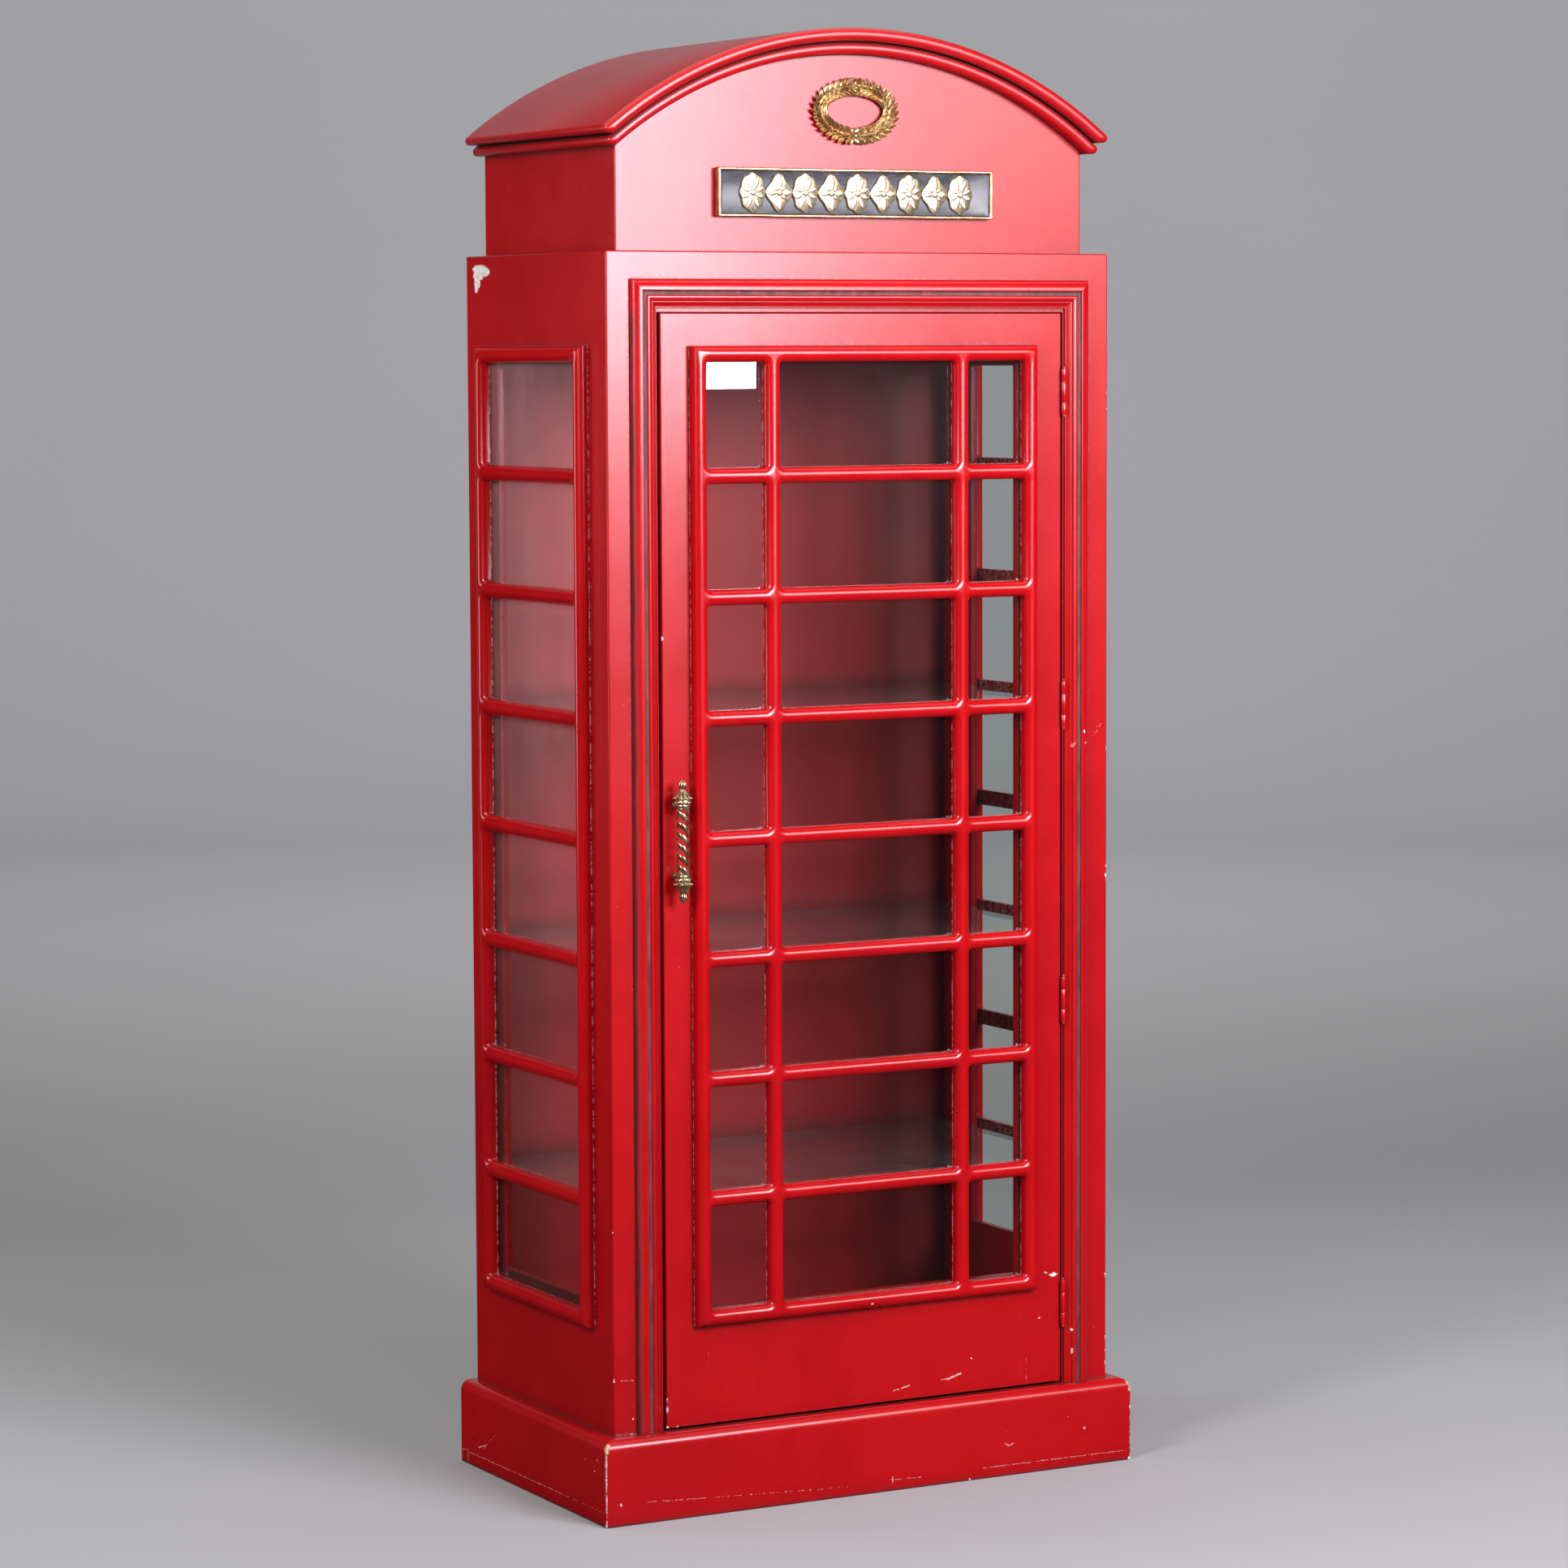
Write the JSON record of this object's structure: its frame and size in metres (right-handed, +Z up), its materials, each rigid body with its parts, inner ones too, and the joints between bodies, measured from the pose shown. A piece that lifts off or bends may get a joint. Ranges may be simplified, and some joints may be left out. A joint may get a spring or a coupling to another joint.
{
  "type": "telephone kiosk display cabinet",
  "caption": "Tall glazed display cabinet shaped like an arched-roof street telephone kiosk, with a hinged glazed door, glazed sides and glass shelves on a plinth.",
  "frame": {"origin": "centre of the overall bounding box at floor level, on the underside of the base board", "axes": "+Z up, the door faces -Y, the door hinges are on the +X side"},
  "size_m": [0.8002, 0.4574, 1.93],
  "materials": {
    "red_timber": "satin-gloss red paint over timber with dark antique glaze in the recesses and chipped edges",
    "red_interior": "satin red paint over timber board",
    "red_hinge": "butt hinges painted over with the cabinet's red paint",
    "window_glass": "clear 4 mm float glass",
    "shelf_glass": "clear 6 mm glass with greenish ground edges",
    "shelf_pin": "nickel plated shelf pins",
    "catch_body": "brown plastic magnetic catch",
    "catch_steel": "plain steel strike plate",
    "aged_brass": "antique brass with dark recesses",
    "gilt_ornament": "bronze-gold casting, rubbed bright on the high spots",
    "sign_plate": "dark brown plate with a gilt raised rim and gilt raised motifs"
  },
  "bodies": {
    "cabinet": {"plinth_front": "red_timber", "plinth_left": "red_timber", "plinth_right": "red_timber", "base_board": "red_interior", "floor_panel": "red_interior", "ceiling_panel": "red_interior", "back_panel": "red_interior", "face_stile_left": "red_timber", "face_stile_right": "red_timber", "face_header": "red_timber", "side_panel_left": "red_timber", "side_panel_right": "red_timber", "side_glass_left": "window_glass", "side_glass_right": "window_glass", "side_grid_left": "red_timber", "side_grid_right": "red_timber", "surround_left": "red_timber", "surround_right": "red_timber", "surround_top": "red_timber", "shelf_upper": "shelf_glass", "shelf_middle": "shelf_glass", "shelf_lower": "shelf_glass", "shelf_pin_upper_left_front": "shelf_pin", "shelf_pin_upper_left_rear": "shelf_pin", "shelf_pin_upper_right_front": "shelf_pin", "shelf_pin_upper_right_rear": "shelf_pin", "shelf_pin_middle_left_front": "shelf_pin", "shelf_pin_middle_left_rear": "shelf_pin", "shelf_pin_middle_right_front": "shelf_pin", "shelf_pin_middle_right_rear": "shelf_pin", "shelf_pin_lower_left_front": "shelf_pin", "shelf_pin_lower_left_rear": "shelf_pin", "shelf_pin_lower_right_front": "shelf_pin", "shelf_pin_lower_right_rear": "shelf_pin", "catch_magnet": "catch_body", "pediment_front": "red_timber", "pediment_back": "red_timber", "pediment_left": "red_timber", "pediment_right": "red_timber", "roof_lower": "red_timber", "roof_upper": "red_timber", "pediment_emblem": "gilt_ornament", "sign_plate": "sign_plate", "hinge_1_frame_leaf": "red_hinge", "hinge_2_frame_leaf": "red_hinge", "hinge_3_frame_leaf": "red_hinge", "hinge_4_frame_leaf": "red_hinge"},
    "door": {"door_stile_left": "red_timber", "door_stile_right": "red_timber", "door_rail_top": "red_timber", "door_rail_bottom": "red_timber", "door_glass": "window_glass", "door_grid": "red_timber", "door_pull": "aged_brass", "catch_plate": "catch_steel", "hinge_1_door_leaf": "red_hinge", "hinge_2_door_leaf": "red_hinge", "hinge_3_door_leaf": "red_hinge", "hinge_4_door_leaf": "red_hinge"}
  },
  "joints": [
    {"name": "door_hinge", "type": "hinge", "parent": "cabinet", "child": "door", "pos_m": [0.3022, -0.19865, 0.84], "axis": [0, 0, 1], "range_deg": [0, 115]}
  ]
}
